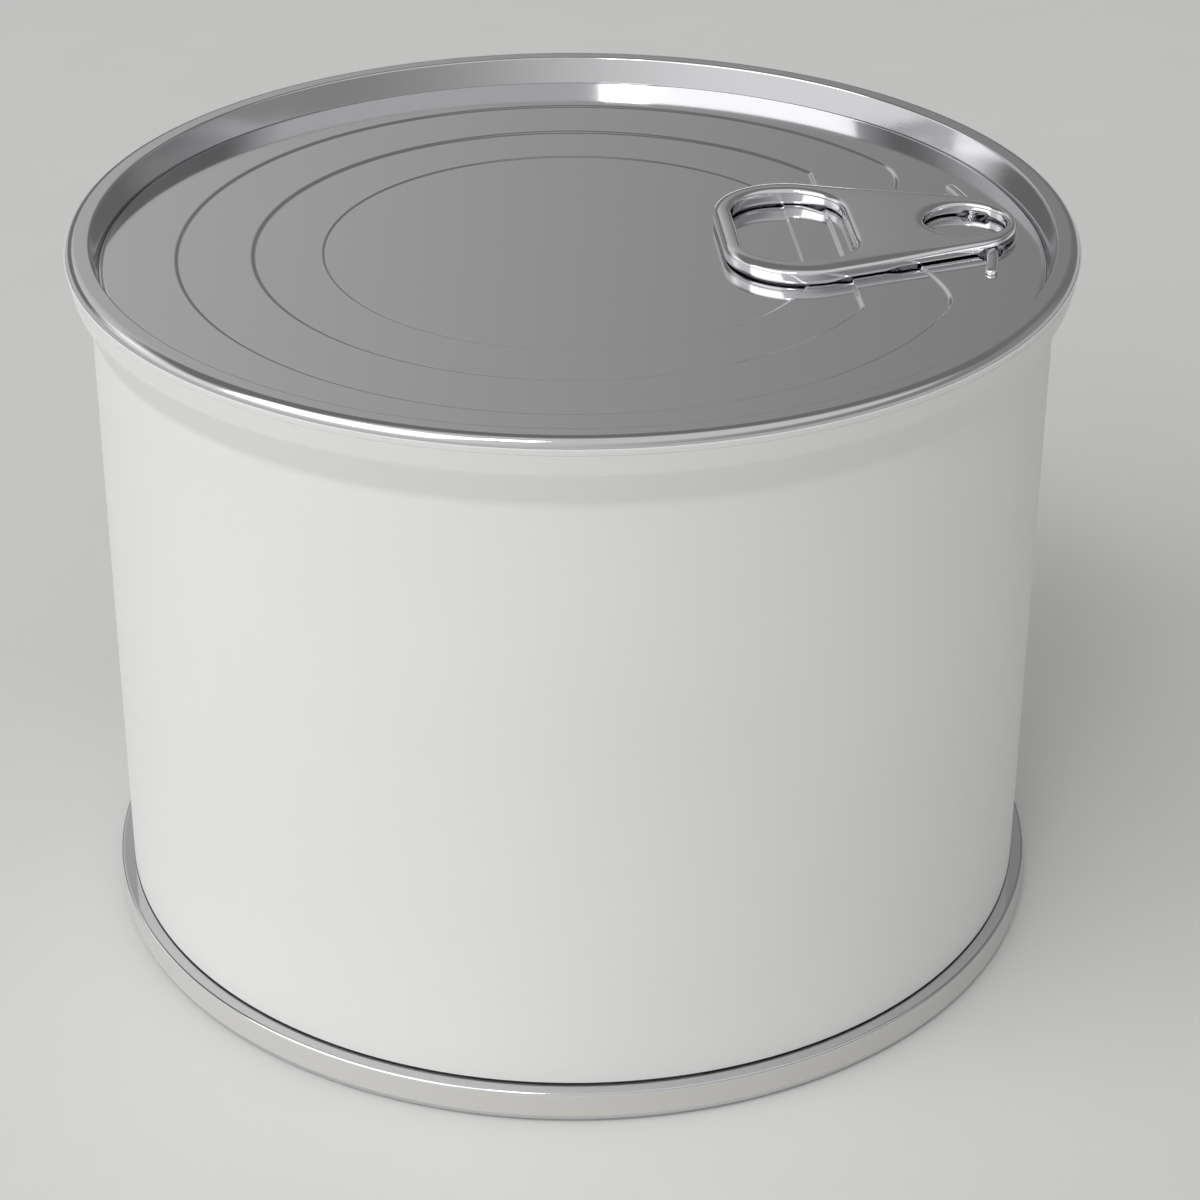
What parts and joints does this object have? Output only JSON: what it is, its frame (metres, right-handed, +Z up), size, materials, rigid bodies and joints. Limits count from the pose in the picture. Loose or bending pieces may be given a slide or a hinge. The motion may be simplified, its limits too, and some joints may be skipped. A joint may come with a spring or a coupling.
{
  "type": "ring-pull food can",
  "caption": "Squat round tinplate can with a white film sleeve, double-seamed ends and a tear-off lid with a pull tab.",
  "frame": {"origin": "centre of the base, in the plane of the bottom rim that the can stands on", "axes": "+Z up the can's axis; +X from the axis towards the pull tab's nose"},
  "size_m": [0.0868, 0.0868, 0.0642],
  "materials": {
    "body_tinplate": "satin",
    "end_tinplate": "polished",
    "lid_tinplate": "polished",
    "tab_tinplate": "polished",
    "white_film": "matte",
    "sealing_compound": "matte",
    "weld_lacquer": "satin"
  },
  "bodies": {
    "can": {"body_shell": "body_tinplate", "film_sleeve": "white_film", "weld_stripe": "weld_lacquer", "bottom_end": "end_tinplate", "lid_ring": "lid_tinplate", "top_seal": "sealing_compound", "bottom_seal": "sealing_compound"},
    "lid": {"lid_panel": "lid_tinplate", "nose_bar_left": "lid_tinplate", "nose_bar_right": "lid_tinplate"},
    "tab": {"pull_tab": "tab_tinplate"}
  },
  "joints": [
    {"name": "lid_lift", "type": "slide", "parent": "can", "child": "lid", "axis": [0, 0, 1], "range_m": [0, 0.06]},
    {"name": "tab_lift", "type": "hinge", "parent": "lid", "child": "tab", "pos_m": [0.03825, 0, 0.06252], "axis": [0, 1, 0], "range_deg": [0, 100]}
  ]
}
